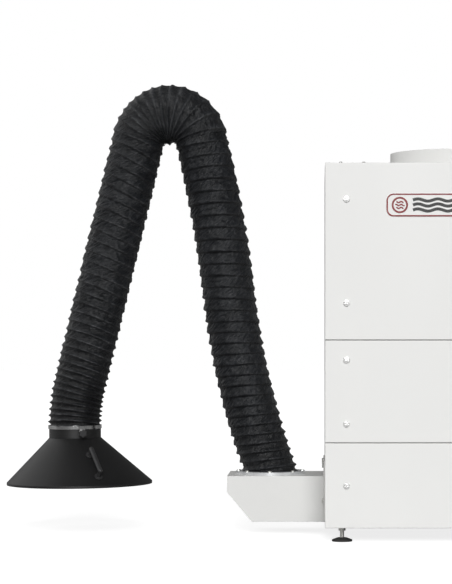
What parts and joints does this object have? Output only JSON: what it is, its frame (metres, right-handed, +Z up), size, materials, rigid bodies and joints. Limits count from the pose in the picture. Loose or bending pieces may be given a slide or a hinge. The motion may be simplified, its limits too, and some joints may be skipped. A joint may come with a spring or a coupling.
{
  "type": "fume extraction unit with hose arm",
  "caption": "Floor-standing filter cabinet with doors, roof outlet and a swivelling, internally supported hose arm that carries a conical fume hood.",
  "frame": {"origin": "on the floor, below the middle of the whole object at rest", "axes": "+Z up, +X to the right seen from the front, -Y out of the doors"},
  "size_m": [1.7885, 0.747, 1.3649],
  "materials": {
    "cabinet_white": "fine textured powder coat, satin",
    "frame_grey": "powder coat, satin",
    "galvanised": "zinc coated, dull spangle",
    "bright_zinc": "bright zinc plate",
    "latch_metal": "satin nickel plate",
    "stainless_band": "rolled stainless strip, bright",
    "hose_fabric": "coated woven duct fabric, wrinkled between wire ribs",
    "hood_black": "smooth powder coat, satin",
    "arm_black": "powder coat, satin",
    "grip_black": "moulded, fine grain",
    "foot_rubber": "moulded, matte",
    "seal_foam": "closed cell foam",
    "bearing_nylon": "nylon, smooth",
    "filter_mesh": "knitted wire in a rolled frame",
    "filter_frame": "extruded, plain",
    "filter_paper": "glass fibre paper",
    "fan_metal": "welded sheet, dull",
    "motor_paint": "enamel, semi gloss",
    "gland_grey": "moulded nylon",
    "badge": "printed plate with a thin keyline, no lettering",
    "control_grey": "moulded, fine grain",
    "button_green": "moulded",
    "button_red": "moulded"
  },
  "bodies": {
    "cabinet": {"back_panel": "cabinet_white", "base_frame": "frame_grey", "cabinet_frame": "frame_grey", "cabinet_hinges": "bright_zinc", "cable_gland": "gland_grey", "door_seals": "seal_foam", "dust_tray": "galvanised", "fan_deck": "galvanised", "fan_inlet_ring": "galvanised", "fan_motor": "motor_paint", "filter_deck": "galvanised", "foot_pads": "foot_rubber", "foot_studs": "bright_zinc", "inlet_bolts": "bright_zinc", "inlet_box": "cabinet_white", "inlet_flange": "cabinet_white", "left_side_panel": "cabinet_white", "main_filter_frame": "filter_frame", "main_filter_pleats": "filter_paper", "motor_bridge": "galvanised", "outlet_collar": "cabinet_white", "prefilter_cassette": "filter_mesh", "right_side_panel": "cabinet_white", "roof_screws": "bright_zinc", "spark_baffle": "galvanised", "swivel_bearing": "bearing_nylon", "swivel_flange": "galvanised", "top_panel": "cabinet_white"},
    "top_door": {"top_door": "cabinet_white", "badge_plate": "badge", "control_plate": "control_grey"},
    "mid_door": {"mid_door": "cabinet_white"},
    "bottom_door": {"bottom_door": "cabinet_white"},
    "fan": {"fan_impeller": "fan_metal"},
    "start_button": {"start_button": "button_green"},
    "stop_button": {"stop_button": "button_red"},
    "arm_base": {"swivel_hub": "arm_black", "shoulder_pin": "bright_zinc", "balance_spring": "bright_zinc", "hose_base_bend": "hose_fabric"},
    "lower_arm": {"lower_arm_tube": "arm_black", "hose_lower_limb": "hose_fabric"},
    "elbow_link": {"elbow_link": "arm_black", "elbow_pins": "bright_zinc", "hose_elbow_bend": "hose_fabric"},
    "upper_arm": {"upper_arm_tube": "arm_black", "hose_upper_limb": "hose_fabric"},
    "hood": {"hood_bracket": "arm_black", "wrist_pin": "bright_zinc", "hood_collar": "hood_black", "hood_cone": "hood_black", "hood_handle": "grip_black", "hose_clamp_band": "stainless_band", "hose_wrist_bend": "hose_fabric"},
    "clamp_knob": {"clamp_knob": "grip_black"},
    "latch_top_upper": {"latch_top_upper": "latch_metal"},
    "latch_top_lower": {"latch_top_lower": "latch_metal"},
    "latch_mid_upper": {"latch_mid_upper": "latch_metal"},
    "latch_mid_lower": {"latch_mid_lower": "latch_metal"},
    "latch_bottom": {"latch_bottom": "latch_metal"}
  },
  "joints": [
    {"name": "top_door_hinge", "type": "hinge", "parent": "cabinet", "child": "top_door", "pos_m": [0.891, -0.327, 0], "axis": [0, 0, 1], "range_deg": [0, 110]},
    {"name": "mid_door_hinge", "type": "hinge", "parent": "cabinet", "child": "mid_door", "pos_m": [0.891, -0.327, 0], "axis": [0, 0, 1], "range_deg": [0, 110]},
    {"name": "bottom_door_hinge", "type": "hinge", "parent": "cabinet", "child": "bottom_door", "pos_m": [0.891, -0.327, 0], "axis": [0, 0, 1], "range_deg": [0, 110]},
    {"name": "latch_top_upper_turn", "type": "hinge", "parent": "top_door", "child": "latch_top_upper", "pos_m": [0.1475, -0.35, 0.999], "axis": [0, 1, 0], "range_deg": [0, 90]},
    {"name": "latch_top_lower_turn", "type": "hinge", "parent": "top_door", "child": "latch_top_lower", "pos_m": [0.1475, -0.35, 0.697], "axis": [0, 1, 0], "range_deg": [0, 90]},
    {"name": "latch_mid_upper_turn", "type": "hinge", "parent": "mid_door", "child": "latch_mid_upper", "pos_m": [0.1475, -0.35, 0.531], "axis": [0, 1, 0], "range_deg": [0, 90]},
    {"name": "latch_mid_lower_turn", "type": "hinge", "parent": "mid_door", "child": "latch_mid_lower", "pos_m": [0.1475, -0.35, 0.345], "axis": [0, 1, 0], "range_deg": [0, 90]},
    {"name": "latch_bottom_turn", "type": "hinge", "parent": "bottom_door", "child": "latch_bottom", "pos_m": [0.1475, -0.35, 0.165], "axis": [0, 1, 0], "range_deg": [0, 90]},
    {"name": "fan_spin", "type": "hinge", "parent": "cabinet", "child": "fan", "pos_m": [0.485, 0, 0.722], "axis": [0, 0, 1], "continuous": true},
    {"name": "start_press", "type": "slide", "parent": "top_door", "child": "start_button", "axis": [0, 1, 0], "range_m": [0, 0.004], "stiffness_N_per_m": 600},
    {"name": "stop_press", "type": "slide", "parent": "top_door", "child": "stop_button", "axis": [0, 1, 0], "range_m": [0, 0.004], "stiffness_N_per_m": 600},
    {"name": "arm_swivel", "type": "hinge", "parent": "cabinet", "child": "arm_base", "pos_m": [-0.082, 0, 0.187], "axis": [0, 0, 1], "range_deg": [-80, 80]},
    {"name": "shoulder", "type": "hinge", "parent": "arm_base", "child": "lower_arm", "pos_m": [-0.09893, 0, 0.2361], "axis": [0, -1, 0], "range_deg": [-12, 35], "deforming": ["hose_base_bend"]},
    {"name": "elbow_lower", "type": "hinge", "parent": "lower_arm", "child": "elbow_link", "pos_m": [-0.34349, 0, 1.199], "axis": [0, 1, 0], "range_deg": [0, 65], "deforming": ["hose_elbow_bend"]},
    {"name": "elbow_upper", "type": "hinge", "parent": "elbow_link", "child": "upper_arm", "pos_m": [-0.44062, 0, 1.19858], "axis": [0, 1, 0], "range_deg": [0, 65]},
    {"name": "hood_tilt", "type": "hinge", "parent": "upper_arm", "child": "hood", "pos_m": [-0.68078, 0, 0.38741], "axis": [0, 1, 0], "range_deg": [-40, 40], "deforming": ["hose_wrist_bend"]},
    {"name": "clamp_knob_turn", "type": "hinge", "parent": "hood", "child": "clamp_knob", "pos_m": [-0.65147, -0.08449, 0.30534], "axis": [0.3584, -0.9336, 0.0031], "range_deg": [0, 360]}
  ]
}
